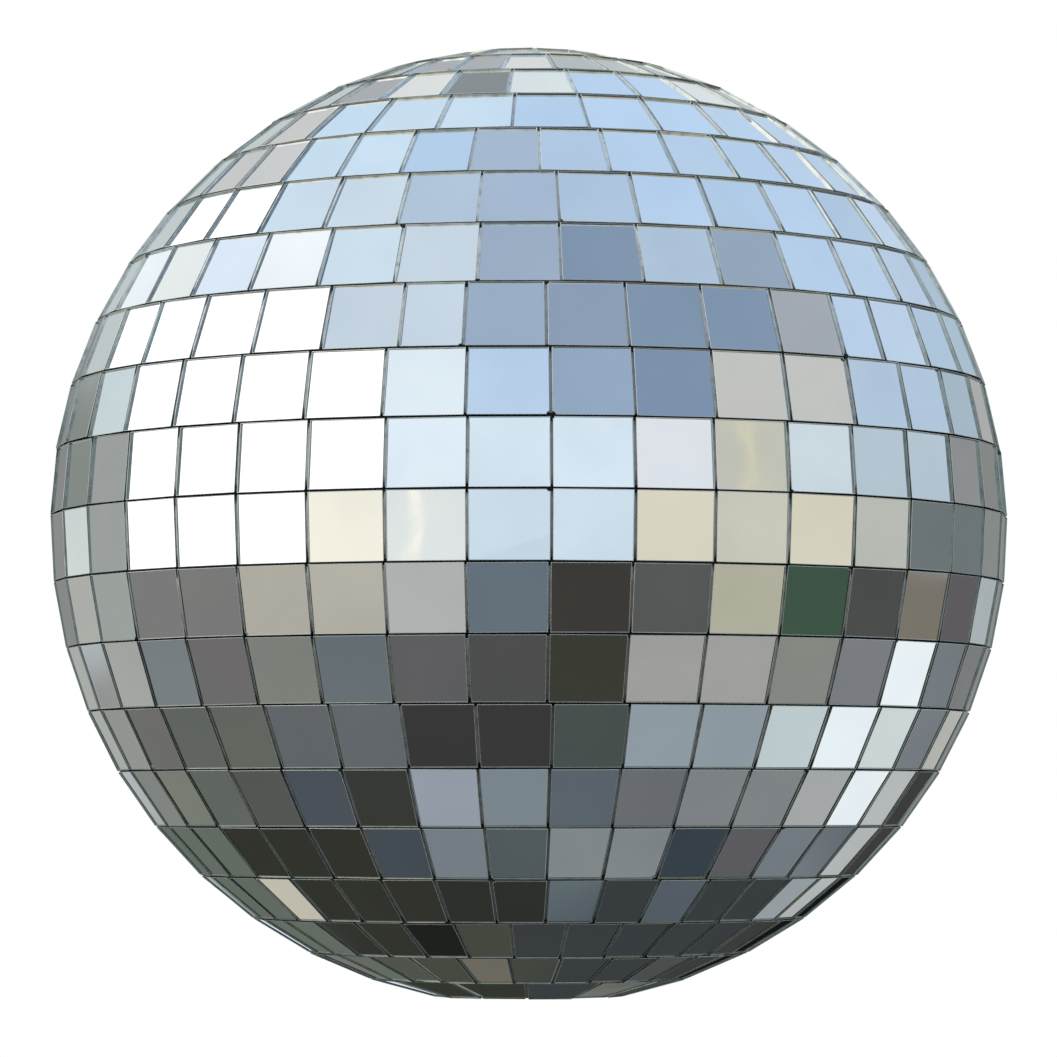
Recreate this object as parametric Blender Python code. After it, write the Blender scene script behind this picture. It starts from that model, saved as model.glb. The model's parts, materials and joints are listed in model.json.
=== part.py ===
"""Mirror ball, 300 mm across, hanging on a spindle that the ball turns on.

Rows of flat mirror tiles cover a hollow two-part core. A pan is let into the core at each pole. The
spindle runs from pole to pole through nylon bushes in the pans, and its lock nut carries the ball.
A hanging ring swings in the spindle's eye and folds down into the top pan.

The frame's origin is the ball's centre and +Z points up along the spindle. Lengths are in metres.
"""

import math

import bmesh
import bpy
from mathutils import Matrix, Vector

# Ball and tiles
BALL_RADIUS = 0.150  # to the outer corners of the tiles
ROW_PITCH = math.radians(7.96)  # latitude from one row line to the next
FIRST_LINE = math.radians(0.9)  # the row line next to the seam lies just above it
TILE_GAP = 0.0009  # joint between two tiles of a row
ROW_GAP = 0.0006  # between rows
BACKING_RADIUS = 0.1469  # distance of a row's inner faces from the ball's centre
GROOVE_FLOOR = 0.00035  # backing left under the joint between two tiles

# Tiles in each row, and the longitude in degrees of one joint, from the equator to the pole
NORTH_ROWS = (
    (39, -6.7), (38, -7.0), (38, -7.5), (35, -6.3), (33, -6.8),
    (34, 1.7), (27, -2.8), (25, -4.3), (24, -7.5), (13, 4.0),
)
SOUTH_ROWS = (
    (39, -6.7), (39, -6.9), (39, -7.0), (39, -6.3), (39, -6.5),
    (39, -6.3), (38, -6.2), (32, -3.5), (27, -5.0), (13, -0.8),
)

# Rows closed with narrower tiles: a tile's place in its row, and its share of the row's pitch
CUT_TILES = {"mirror_row_north_03": {5: 0.72, 37: 0.79}}

# Core
CORE_RADIUS = 0.1466
CORE_WALL = 0.003
CORE_FLAT = 0.1440  # height of the flat at each pole
CORE_SEAM_GAP = 0.0003
CORE_SEGMENTS = 32
CORE_OUTER_STEPS = 8
CORE_INNER_STEPS = 4
BOSS_RADIUS = 0.028
BOSS_BOTTOM = 0.1380
SEAM_RING_HALF_HEIGHT = 0.008
SEAM_RING_WALL = 0.003
SEAM_RING_CLEARANCE = 0.0016  # glue gap, which the core's flat facets narrow

# Clearance between pieces that touch, and how far a cutter runs past the face it cuts
GAP = 0.0003
OVERRUN = 0.0005

# Pans
PAN_FACE = 0.1453  # height of the flange's outer face
PAN_SHEET = 0.001
PAN_FLANGE_RADIUS = 0.0235
PAN_BORE = 0.0185
PAN_DEPTH = 0.014
PAN_SEGMENTS = 28

# Bushes
BUSH_BORE = 0.0033
BUSH_RADIUS = 0.0057
BUSH_FLANGE_RADIUS = 0.009
BUSH_FLANGE = 0.0015
BUSH_LENGTH = 0.0095
SMALL_SEGMENTS = 20

# Spindle, washers and nut
SPINDLE_RADIUS = 0.003
SPINDLE_END = 0.1425  # depth of its lower end below the ball's centre
COLLAR_RADIUS = 0.005
COLLAR_HEIGHT = 0.0015
WASHER_RADIUS = 0.007
WASHER_BORE = 0.0033
WASHER_THICKNESS = 0.001
NUT_ACROSS_FLATS = 0.010
NUT_HEIGHT = 0.006
EYE_RADIUS = 0.005
EYE_HOLE_RADIUS = 0.0023
EYE_THICKNESS = 0.004
EYE_RISE = 0.0038  # from the collar's top to the middle of the eye

# Hanging ring
RING_RADIUS = 0.00825  # to the middle of the wire
RING_WIRE_RADIUS = 0.0015
RING_SEGMENTS = 28
RING_WIRE_SIDES = 8

# Pan screws
SCREW_CIRCLE = 0.0214
SCREW_HEAD_RADIUS = 0.0015
SCREW_RADIUS = 0.0009
SCREW_LENGTH = 0.0065
SCREW_POINT = 0.001
SCREW_SEGMENTS = 10
SCREW_ANGLES = (90, 210, 330)

# Heights that follow
PAN_FLOOR = PAN_FACE - PAN_DEPTH
BUSH_FACE = PAN_FLOOR + GAP + BUSH_FLANGE
WASHER_FACE = BUSH_FACE + GAP + WASHER_THICKNESS
COLLAR_BASE = WASHER_FACE + GAP
EYE_HEIGHT = COLLAR_BASE + COLLAR_HEIGHT + EYE_RISE
RING_FOLD = math.asin((EYE_HEIGHT - PAN_FLOOR - RING_WIRE_RADIUS - GAP) / (2 * RING_RADIUS))


def clear_scene():
    """Remove whatever the scene holds."""
    for thing in list(bpy.data.objects):
        bpy.data.objects.remove(thing, do_unlink=True)


def make_material(name, colour, roughness, metallic):
    """A Principled BSDF with one colour, roughness and metallic value."""
    material = bpy.data.materials.new(name)
    material.use_nodes = True
    shader = material.node_tree.nodes["Principled BSDF"]
    shader.inputs["Base Color"].default_value = (*colour, 1.0)
    shader.inputs["Roughness"].default_value = roughness
    shader.inputs["Metallic"].default_value = metallic
    material.diffuse_color = (*colour, 1.0)
    return material


def make_group(name, location=(0, 0, 0)):
    """An empty that the pieces of one moving body hang from."""
    empty = bpy.data.objects.new(name, None)
    empty.location = location
    bpy.context.collection.objects.link(empty)
    return empty


def make_object(name, shape, material, parent, location=(0, 0, 0), smooth=True):
    """Turn a finished bmesh into a named object, with its faces pointing out."""
    bmesh.ops.recalc_face_normals(shape, faces=shape.faces)
    mesh = bpy.data.meshes.new(name)
    shape.to_mesh(mesh)
    shape.free()
    mesh.materials.append(material)
    if smooth:
        mesh.shade_smooth()
        mesh.set_sharp_from_angle(angle=math.radians(30))
    piece = bpy.data.objects.new(name, mesh)
    piece.location = location
    piece.parent = parent
    bpy.context.collection.objects.link(piece)
    return piece


def revolve(profile, segments):
    """Spin a closed outline of (radius, height) points round Z."""
    shape = bmesh.new()
    corners = [shape.verts.new((radius, 0, height)) for radius, height in profile]
    edges = [shape.edges.new((a, b)) for a, b in zip(corners, corners[1:] + corners[:1])]
    bmesh.ops.spin(
        shape,
        geom=corners + edges,
        axis=(0, 0, 1),
        cent=(0, 0, 0),
        steps=segments,
        angle=math.tau,
        use_merge=True,
    )
    bmesh.ops.remove_doubles(shape, verts=shape.verts, dist=1e-6)
    return shape


def revolve_solid(profile, segments):
    """Spin an open outline, from the axis out and back to it, into a solid with no bore."""
    shape = bmesh.new()
    points = [shape.verts.new((radius, 0, height)) for radius, height in profile]
    edges = [shape.edges.new((a, b)) for a, b in zip(points, points[1:])]
    bmesh.ops.spin(
        shape,
        geom=points + edges,
        axis=(0, 0, 1),
        cent=(0, 0, 0),
        steps=segments,
        angle=math.tau,
        use_merge=True,
    )
    bmesh.ops.remove_doubles(shape, verts=shape.verts, dist=1e-6)
    return shape


def cylinder(radius, low, high, segments):
    """An upright cylinder between two heights."""
    return revolve_solid([(0, low), (radius, low), (radius, high), (0, high)], segments)


def join_shapes(piece, other):
    """Unite another object with a piece, and keep the other as a hidden guide."""
    use_guide(piece, other, "UNION")


def cut_shape(piece, cutter):
    """Cut another object out of a piece, and keep the other as a hidden guide."""
    use_guide(piece, cutter, "DIFFERENCE")


def use_guide(piece, guide, operation):
    """Add an exact Boolean with a guide object that isn't part of the model."""
    guide.hide_render = True
    guide.display_type = "WIRE"
    boolean = piece.modifiers.new(guide.name, "BOOLEAN")
    boolean.operation = operation
    boolean.solver = "EXACT"
    boolean.object = guide


def flip(profile, side):
    """The same outline at the top pole (side 1) or the bottom pole (side -1)."""
    return [(radius, side * height) for radius, height in profile]


def on_sphere(latitude, longitude):
    """Direction from the ball's centre. Longitude 0 faces -Y and grows towards +X."""
    level = math.cos(latitude)
    return Vector((level * math.sin(longitude), -level * math.cos(longitude), math.sin(latitude)))


def tile_widths(latitudes, pitch):
    """Widths of a tile's lower and upper edges, which leave a joint of even width in the row."""
    chords = [2 * BALL_RADIUS * math.cos(latitude) * math.sin(pitch / 2) for latitude in latitudes]
    return [chord - TILE_GAP for chord in chords]


def tile_normal_latitude(latitudes, widths):
    """Latitude that a flat tile faces when its four corners touch the ball's sphere."""
    low, high = (BALL_RADIUS * math.sin(latitude) for latitude in latitudes)
    near, far = (
        math.sqrt((BALL_RADIUS * math.cos(latitude)) ** 2 - (width / 2) ** 2)
        for latitude, width in zip(latitudes, widths)
    )
    return math.atan2(near - far, high - low)


def make_tile_row(name, south_line, count, joint, material, parent):
    """One row: flat tapered tiles on a thin backing, with a groove between neighbours."""
    half_gap = ROW_GAP / (2 * BALL_RADIUS)
    latitudes = (south_line + half_gap, south_line + ROW_PITCH - half_gap)
    shares = [CUT_TILES.get(name, {}).get(index, 1.0) for index in range(count)]
    pitch = math.tau / sum(shares)
    facing = tile_normal_latitude(latitudes, tile_widths(latitudes, pitch))
    joints = [joint + pitch * sum(shares[:index]) for index in range(count)]
    shape = bmesh.new()
    inner = []
    groove = []
    for longitude in joints:
        normal = on_sphere(facing, longitude + pitch / 2)
        rays = [on_sphere(latitude, longitude) for latitude in latitudes]
        feet = [ray * (BACKING_RADIUS / ray.dot(normal)) for ray in rays]
        inner.append([shape.verts.new(foot) for foot in feet])
        groove.append(
            [shape.verts.new(foot + ray * GROOVE_FLOOR) for foot, ray in zip(feet, rays)]
        )
    for index, longitude in enumerate(joints):
        middle = longitude + shares[index] * pitch / 2
        following = (index + 1) % count
        corners = []
        for latitude, width in zip(latitudes, tile_widths(latitudes, shares[index] * pitch)):
            reach = math.asin(width / (2 * BALL_RADIUS * math.cos(latitude)))
            pair = [on_sphere(latitude, middle + side * reach) for side in (-1, 1)]
            corners.append([shape.verts.new(BALL_RADIUS * direction) for direction in pair])
        (low_left, low_right), (high_left, high_right) = corners
        left_low, left_high = groove[index]
        right_low, right_high = groove[following]
        shape.faces.new((low_left, low_right, high_right, high_left))
        shape.faces.new((left_low, low_left, high_left, left_high))
        shape.faces.new((low_right, right_low, right_high, high_right))
        shape.faces.new((*inner[index], *reversed(inner[following])))
        for edge, left, right in ((0, low_left, low_right), (1, high_left, high_right)):
            feet = (inner[index][edge], inner[following][edge])
            floor = (groove[following][edge], groove[index][edge])
            shape.faces.new((*feet, *floor))
            shape.faces.new((*reversed(floor), right, left))
    return make_object(name, shape, material, parent, smooth=False)


def arc(radius, start_height, end_height, steps):
    """Points of a circle round the ball's centre between two heights."""
    start = math.asin(start_height / radius)
    end = math.asin(end_height / radius)
    angles = [start + (end - start) * step / steps for step in range(steps + 1)]
    return [(radius * math.cos(angle), radius * math.sin(angle)) for angle in angles]


def make_core_shell(name, side, material, parent):
    """A hollow hemisphere with a flat, a bored boss and three pilot holes at its pole."""
    inside = CORE_RADIUS - CORE_WALL
    boss_top = math.sqrt(inside**2 - BOSS_RADIUS**2)
    hole = PAN_BORE + PAN_SHEET + GAP
    seam = CORE_SEAM_GAP / 2
    outline = arc(CORE_RADIUS, seam, CORE_FLAT, CORE_OUTER_STEPS)
    outline += [(hole, CORE_FLAT), (hole, BOSS_BOTTOM), (BOSS_RADIUS, BOSS_BOTTOM)]
    outline += arc(inside, boss_top, seam, CORE_INNER_STEPS)
    shell = make_object(name, revolve(flip(outline, side), CORE_SEGMENTS), material, parent)
    reach = sorted((side * (BOSS_BOTTOM - OVERRUN), side * (CORE_FLAT + OVERRUN)))
    for number, spot in enumerate(screw_spots(), 1):
        pilot = cylinder(SCREW_RADIUS + GAP, *reach, SCREW_SEGMENTS)
        cutter = make_object(f"{name}_pilot_{number}", pilot, material, parent, spot)
        cut_shape(shell, cutter)
    return shell


def screw_spots():
    """Centres of the pan screws round the spindle's axis."""
    turns = [math.radians(angle) for angle in SCREW_ANGLES]
    return [(SCREW_CIRCLE * math.cos(turn), SCREW_CIRCLE * math.sin(turn), 0) for turn in turns]


def make_seam_ring(material, parent):
    """Band inside the equator that the two halves of the core are glued to."""
    at_edge = math.sqrt((CORE_RADIUS - CORE_WALL) ** 2 - SEAM_RING_HALF_HEIGHT**2)
    outer = at_edge - SEAM_RING_CLEARANCE
    inner = outer - SEAM_RING_WALL
    top = SEAM_RING_HALF_HEIGHT
    outline = [(inner, top), (outer, top), (outer, -top), (inner, -top)]
    make_object("seam_joining_ring", revolve(outline, CORE_SEGMENTS), material, parent)


def make_pan(name, side, material, parent):
    """A pressed cup with a flat flange, a spindle hole and three countersunk screw holes."""
    under = PAN_FACE - PAN_SHEET
    hole = BUSH_RADIUS + GAP
    outline = [
        (hole, PAN_FLOOR),
        (PAN_BORE, PAN_FLOOR),
        (PAN_BORE, PAN_FACE),
        (PAN_FLANGE_RADIUS, PAN_FACE),
        (PAN_FLANGE_RADIUS, under),
        (PAN_BORE + PAN_SHEET, under),
        (PAN_BORE + PAN_SHEET, PAN_FLOOR - PAN_SHEET),
        (hole, PAN_FLOOR - PAN_SHEET),
    ]
    pan = make_object(name, revolve(flip(outline, side), PAN_SEGMENTS), material, parent)
    wide = SCREW_HEAD_RADIUS + GAP + OVERRUN
    narrow = SCREW_RADIUS + GAP
    low = under - OVERRUN
    high = PAN_FACE + OVERRUN
    cone = [(0, low), (narrow, low), (narrow, under), (wide, high), (0, high)]
    for number, spot in enumerate(screw_spots(), 1):
        sink = revolve_solid(flip(cone, side), SCREW_SEGMENTS)
        cutter = make_object(f"{name}_countersink_{number}", sink, material, parent, spot)
        cut_shape(pan, cutter)
    return pan


def make_pan_screws(prefix, side, material, parent):
    """Three countersunk screws, their heads a little below the flange's face."""
    top = PAN_FACE - GAP / 2
    neck = PAN_FACE - PAN_SHEET
    tip = top - SCREW_LENGTH
    outline = [(0, top), (SCREW_HEAD_RADIUS, top), (SCREW_RADIUS, neck)]
    outline += [(SCREW_RADIUS, tip + SCREW_POINT), (0, tip)]
    for number, spot in enumerate(screw_spots(), 1):
        shape = revolve_solid(flip(outline, side), SCREW_SEGMENTS)
        make_object(f"{prefix}_{number}", shape, material, parent, spot)


def make_bush(name, side, material, parent):
    """A flanged bush that sits in the pan's floor, with its flange on the outside."""
    seat = PAN_FLOOR + GAP
    end = BUSH_FACE - BUSH_LENGTH
    outline = [
        (BUSH_BORE, BUSH_FACE),
        (BUSH_FLANGE_RADIUS, BUSH_FACE),
        (BUSH_FLANGE_RADIUS, seat),
        (BUSH_RADIUS, seat),
        (BUSH_RADIUS, end),
        (BUSH_BORE, end),
    ]
    make_object(name, revolve(flip(outline, side), SMALL_SEGMENTS), material, parent)


def make_washer(name, side, material, parent):
    """A plain washer on the outer face of a bush."""
    low = BUSH_FACE + GAP
    outline = [(WASHER_BORE, WASHER_FACE), (WASHER_RADIUS, WASHER_FACE)]
    outline += [(WASHER_RADIUS, low), (WASHER_BORE, low)]
    make_object(name, revolve(flip(outline, side), SMALL_SEGMENTS), material, parent)


def make_lock_nut(material, parent):
    """A hexagon nut on the spindle's lower end, under the thrust washer."""
    top = -(WASHER_FACE + GAP)
    outer = NUT_ACROSS_FLATS / 2 / math.cos(math.pi / 6)
    outline = [(0, top - NUT_HEIGHT), (outer, top - NUT_HEIGHT), (outer, top), (0, top)]
    nut = make_object("lock_nut", revolve_solid(outline, 6), material, parent)
    bore = cylinder(SPINDLE_RADIUS + GAP, top - 2 * NUT_HEIGHT, top + NUT_HEIGHT, SMALL_SEGMENTS)
    cut_shape(nut, make_object("lock_nut_bore", bore, material, parent))


def make_spindle(material, parent):
    """Rod with a collar on the top washer and a flat eye above it."""
    collar_top = COLLAR_BASE + COLLAR_HEIGHT
    outline = [(0, collar_top), (COLLAR_RADIUS, collar_top), (COLLAR_RADIUS, COLLAR_BASE)]
    outline += [(SPINDLE_RADIUS, COLLAR_BASE), (SPINDLE_RADIUS, -SPINDLE_END), (0, -SPINDLE_END)]
    spindle = make_object("spindle", revolve_solid(outline, SMALL_SEGMENTS), material, parent)
    across = Matrix.Rotation(math.pi / 2, 4, "Y")
    half = EYE_THICKNESS / 2
    for name, radius, reach in (
        ("spindle_eye", EYE_RADIUS, half),
        ("spindle_eye_hole", EYE_HOLE_RADIUS, 2 * half),
    ):
        shape = cylinder(radius, -reach, reach, SMALL_SEGMENTS)
        bmesh.ops.transform(shape, matrix=across, verts=shape.verts)
        guide = make_object(name, shape, material, parent, (0, 0, EYE_HEIGHT))
        if radius == EYE_RADIUS:
            join_shapes(spindle, guide)
        else:
            cut_shape(spindle, guide)


def make_hanging_ring(material, parent):
    """Closed wire ring through the eye, at rest folded down onto the pan's floor on +Y."""
    shape = bmesh.new()
    section = bmesh.ops.create_circle(shape, segments=RING_WIRE_SIDES, radius=RING_WIRE_RADIUS)["verts"]
    bmesh.ops.rotate(shape, verts=section, matrix=Matrix.Rotation(math.pi / 2, 3, "Y"))
    bmesh.ops.spin(
        shape,
        geom=section + list(shape.edges),
        axis=(0, 0, 1),
        cent=(0, RING_RADIUS, 0),
        steps=RING_SEGMENTS,
        angle=math.tau,
        use_merge=True,
    )
    bmesh.ops.remove_doubles(shape, verts=shape.verts, dist=1e-6)
    ring = make_object("hanging_ring", shape, material, parent)
    ring.rotation_euler = (-RING_FOLD, 0, 0)


def build():
    clear_scene()
    glass = make_material("mirror_glass", (0.86, 0.88, 0.90), 0.02, 1.0)
    plastic = make_material("core_plastic", (0.10, 0.10, 0.11), 0.60, 0.0)
    zinc = make_material("zinc_steel", (0.62, 0.63, 0.64), 0.35, 1.0)
    chrome = make_material("chrome_steel", (0.75, 0.76, 0.78), 0.12, 1.0)
    nylon = make_material("nylon", (0.86, 0.85, 0.80), 0.45, 0.0)

    hanger = make_group("hanger")
    ball = make_group("ball")
    ring = make_group("ring", (0, 0, EYE_HEIGHT))

    for number, (count, joint) in enumerate(NORTH_ROWS, 1):
        line = FIRST_LINE + (number - 1) * ROW_PITCH
        name = f"mirror_row_north_{number:02d}"
        make_tile_row(name, line, count, math.radians(joint), glass, ball)
    for number, (count, joint) in enumerate(SOUTH_ROWS, 1):
        line = FIRST_LINE - number * ROW_PITCH
        name = f"mirror_row_south_{number:02d}"
        make_tile_row(name, line, count, math.radians(joint), glass, ball)

    for place, side in (("top", 1), ("bottom", -1)):
        make_pan(f"{place}_pan", side, chrome, ball)
        make_pan_screws(f"{place}_pan_screw", side, zinc, ball)
        make_bush(f"{place}_bush", side, nylon, ball)
    make_core_shell("upper_core_shell", 1, plastic, ball)
    make_core_shell("lower_core_shell", -1, plastic, ball)
    make_seam_ring(plastic, ball)

    make_washer("top_washer", 1, zinc, hanger)
    make_washer("thrust_washer", -1, zinc, hanger)
    make_lock_nut(zinc, hanger)
    make_spindle(zinc, hanger)
    make_hanging_ring(chrome, ring)


build()
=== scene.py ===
"""Looks of the 300 mm mirror ball.

Every row of tiles is rebuilt as separate pieces of glass with ground edges, set in adhesive. The hardware
at the poles is rebuilt with rolled, chamfered and threaded detail. The surroundings that the tiles show
are a procedural world: pale sky, a bright window on the left and a darker, cluttered ground.
"""

import json
import math
import random

import bmesh
import bpy
from mathutils import Matrix, Vector


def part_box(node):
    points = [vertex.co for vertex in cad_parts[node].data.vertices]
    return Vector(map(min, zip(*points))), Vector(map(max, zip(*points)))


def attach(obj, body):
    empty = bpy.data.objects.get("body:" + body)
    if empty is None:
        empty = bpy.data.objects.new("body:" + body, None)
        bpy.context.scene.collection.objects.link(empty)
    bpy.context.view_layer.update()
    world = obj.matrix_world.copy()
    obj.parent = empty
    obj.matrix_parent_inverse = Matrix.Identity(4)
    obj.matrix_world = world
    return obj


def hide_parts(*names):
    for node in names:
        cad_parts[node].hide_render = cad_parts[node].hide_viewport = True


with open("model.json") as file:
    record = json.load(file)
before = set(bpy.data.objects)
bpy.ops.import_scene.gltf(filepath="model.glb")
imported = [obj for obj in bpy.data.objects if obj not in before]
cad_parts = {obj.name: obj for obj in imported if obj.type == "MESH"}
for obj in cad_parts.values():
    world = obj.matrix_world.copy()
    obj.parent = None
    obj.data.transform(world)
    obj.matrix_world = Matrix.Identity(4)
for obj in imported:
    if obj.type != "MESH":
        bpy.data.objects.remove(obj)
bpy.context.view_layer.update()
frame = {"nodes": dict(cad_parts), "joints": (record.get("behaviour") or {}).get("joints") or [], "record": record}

NODES = frame["nodes"]
RECORD = frame["record"]
BALL_RADIUS = max(vertex.co.length for vertex in NODES["mirror_row_north_01"].data.vertices)
SEED = 7
SMOOTH = 32  # edges sharper than this many degrees stay sharp

# Tiles
GLASS = 0.0020  # thickness of a tile
SILVER_DEPTH = {"north": 0.00058, "south": 0.00032}  # how deep the silvering seems to lie in the glass
SINK = (0.00004, 0.00020)  # how far a tile sits below the ball's sphere
TRIM = (-0.00007, 0.00005)  # taken off each side of a tile
TILT = math.radians(0.45)  # spread of a tile's tilt out of line with the sphere
TWIST = math.radians(0.30)  # spread of its turn in its own plane
ARRIS = 0.00006  # chamfer round the front of a tile
RIM = 0.00010  # front surface between the chamfer and the side seen through the glass
LEAN = 0.00004  # how far that side leans in towards the silvering
CORNER = (0.00008, 0.000208)  # cut across a sound corner
CHIP = (0.0005, 0.0012)  # and across a chipped one
CHIP_CHANCE = 0.05
CHIP_PEAK = (0.35, 0.65)  # where along the chip its deepest point lies
CHIP_BITE = 0.012  # how deep it goes, as a share of half the tile
ON_SPHERE = 0.0001  # how far below the sphere a tile's corner may lie
ONE_WAY = 0.99995  # cosine between faces of one tile

# Adhesive under the tiles and squeezed up into the joints
BED_INNER = 0.1469
BED_OUTER = 0.1476
BED_STEP = math.radians(1.5)
BED_SPARE = 0.0004  # how far it reaches past the tiles above and below
BED_WAVES = (0.00009, 0.00006)
BEAD_TOP = (0.00014, 0.00042)  # depth of the adhesive in a joint, below the tiles' faces
BEAD_FOOT = 0.0022
BEAD_KEY = 0.00012  # how far it reaches into the glass each side, so that no slit shows
BEAD_END = (0.0004, 0.0013)  # how far the adhesive stops short of the row's edges
BEAD_FALL = 0.0007  # how much deeper it lies at its ends
BEAD_LIP = 0.0001  # and along its sides
BEAD_RIPPLE = 0.00003
BEAD_STEPS = 8
LOWER_SHADE_HEIGHTS = (0.010, 0.085)  # heights between which the painted shade on the edges and the adhesive fades from dark below to pale above
SILVER, EDGE, INNER_SIDE, OUTER_SIDE = range(4)  # material slots of a tile

# Hardware, in the sizes that a node's box doesn't give
FILLET_STEPS = 5
PAN_SHEET = 0.001
PAN_BORE = 0.0185
PAN_HOLE = 0.0060
BUSH_BORE = 0.0033
BUSH_BODY = 0.0057
BUSH_FLANGE = 0.0015
WASHER_BORE = 0.0033
SCREW_CORE = 0.00065
SCREW_CREST = 0.0009
SCREW_PITCH = 0.0006
NUT_BORE = 0.0031
NUT_CROWN = 0.0016
NUT_CROWN_RADIUS = 0.0047
INSERT_RADIUS = 0.0039
INSERT_DEPTH = 0.0012
OVERLAP = 0.001  # how far a Boolean's parts reach into or past each other
SPINDLE_RADIUS = 0.003
SPINDLE_SIDES = 48
THREAD_LENGTH = 0.014
THREAD_PITCH = 0.001
THREAD_DEPTH = 0.0004
THREAD_STEP = 0.000125
THREAD_CHAMFER = 0.0008
COLLAR_RADIUS = 0.005
COLLAR_HEIGHT = 0.0015
NECK_RADIUS = 0.0022
EYE_RISE = 0.0038
EYE_HOLE = 0.0023
EYE_THICKNESS = 0.004
RING_WIRE = 0.0015
RING_STEPS = 144
RING_SIDES = 24

# Camera, from the ball's centre
CAMERA_DISTANCE = 1.515
CAMERA_ELEVATION = math.radians(-3.33)
CAMERA_DROP = 0.0006  # the aim passes this far below the centre
SENSOR = 36.0
LENS = 164.1

# Surroundings, in degrees
WINDOW_LIGHT = (1.3, 1.3, 1.3, 1.0)  # colour of the white panels
HORIZON = (-9.6, -8.4)
WOBBLE = 0.9  # how far the edges of the panels wander
BEND = 0.08  # and the gleams

FLOOR_HEIGHT = -3.2
FLOOR_RADIUS = 24.0


# ---- node helpers


def linear(code):
    """Linear RGBA of an sRGB colour written as hex digits."""
    values = [int(code[start : start + 2], 16) / 255 for start in (0, 2, 4)]
    rgb = [v / 12.92 if v <= 0.04045 else ((v + 0.055) / 1.055) ** 2.4 for v in values]
    return (*rgb, 1.0)


class Tree:
    """Short names for building one node tree."""

    def __init__(self, tree):
        self.tree = tree

    def add(self, kind, inputs=(), **settings):
        """Add a shader node, set its properties, and fill or link its inputs by name or number."""
        node = self.tree.nodes.new("ShaderNode" + kind)
        for key, value in settings.items():
            setattr(node, key, value)
        for key, value in dict(inputs).items():
            self.put(node.inputs[key], value)
        return node

    def put(self, socket, value):
        """Link a socket, or set its value; a colour may be written as hex digits."""
        if isinstance(value, bpy.types.NodeSocket):
            self.tree.links.new(value, socket)
        else:
            socket.default_value = linear(value) if isinstance(value, str) else value

    def math(self, operation, *values):
        return self.add("Math", dict(enumerate(values)), operation=operation).outputs[0]

    def step(self, value, low, high, soft=True):
        """0 below low, 1 above high, and smooth between."""
        kind = "SMOOTHSTEP" if soft else "LINEAR"
        inputs = {"Value": value, "From Min": low, "From Max": high}
        # A smooth step needs no clamp, and each clamp would hold a value on the renderer's short stack.
        node = self.add("MapRange", inputs, interpolation_type=kind, clamp=not soft)
        return node.outputs["Result"]

    def span(self, value, low, high):
        """Map 0..1 onto low..high."""
        node = self.add("MapRange", {"Value": value, "To Min": low, "To Max": high})
        return node.outputs["Result"]

    def mix(self, factor, first, second, blend="MIX"):
        """Mix two colours."""
        inputs = {0: factor, 6: first, 7: second}
        return self.add("Mix", inputs, data_type="RGBA", blend_type=blend, clamp_factor=True).outputs[2]

    def age(self, colour, place, shade):
        """Paint shade into a colour: darker from the upper rows down."""
        level = self.add("SeparateXYZ", {0: place}).outputs[2]
        # Painted shade: a ramp by height that darkens the lower rows, multiplied into the colour.
        tint = self.ramp(self.step(level, *LOWER_SHADE_HEIGHTS), [(0.0, shade), (1.0, (1, 1, 1, 1))])
        return self.mix(1.0, colour, tint, "MULTIPLY")

    def ramp(self, factor, stops, constant=False):
        """Colour ramp from (position, colour) stops."""
        node = self.add("ValToRGB", {0: factor})
        node.color_ramp.interpolation = "CONSTANT" if constant else "LINEAR"
        elements = node.color_ramp.elements
        while len(elements) < len(stops):
            elements.new(0.5)
        for element, (position, colour) in zip(elements, stops):
            element.position = position
            element.color = linear(colour) if isinstance(colour, str) else colour
        return node.outputs[0]

    def island(self):
        """A random value for each separate piece of a mesh."""
        return self.add("NewGeometry").outputs["Random Per Island"]

    def noise(self, vector, scale, detail=2.0, roughness=0.5):
        inputs = {"Vector": vector, "Scale": scale, "Detail": detail, "Roughness": roughness}
        return self.add("TexNoise", inputs).outputs

    def cells(self, vector, scale):
        return self.add("TexVoronoi", {"Vector": vector, "Scale": scale}).outputs


def new_material(name, **values):
    """A material with a Principled shader, its uniform values set on the shader itself."""
    material = bpy.data.materials.new(name)
    material.use_nodes = True
    tree = Tree(material.node_tree)
    tree.material = material
    tree.shader = material.node_tree.nodes["Principled BSDF"].inputs
    for key, value in values.items():
        tree.shader[key.replace("_", " ").title().replace("Ior", "IOR")].default_value = value
    return tree, tree.add("TexCoord").outputs["Object"]


def dress(tree, colour, roughness, height, depth, strength=1.0):
    """Give a material its colour, its roughness and its relief, as deep as depth in metres."""
    tree.put(tree.shader["Base Color"], colour)
    tree.put(tree.shader["Roughness"], roughness)
    bump = tree.add("Bump", {"Height": height, "Distance": depth, "Strength": strength})
    tree.put(tree.shader["Normal"], bump.outputs[0])
    return tree.material


# ---- materials


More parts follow.
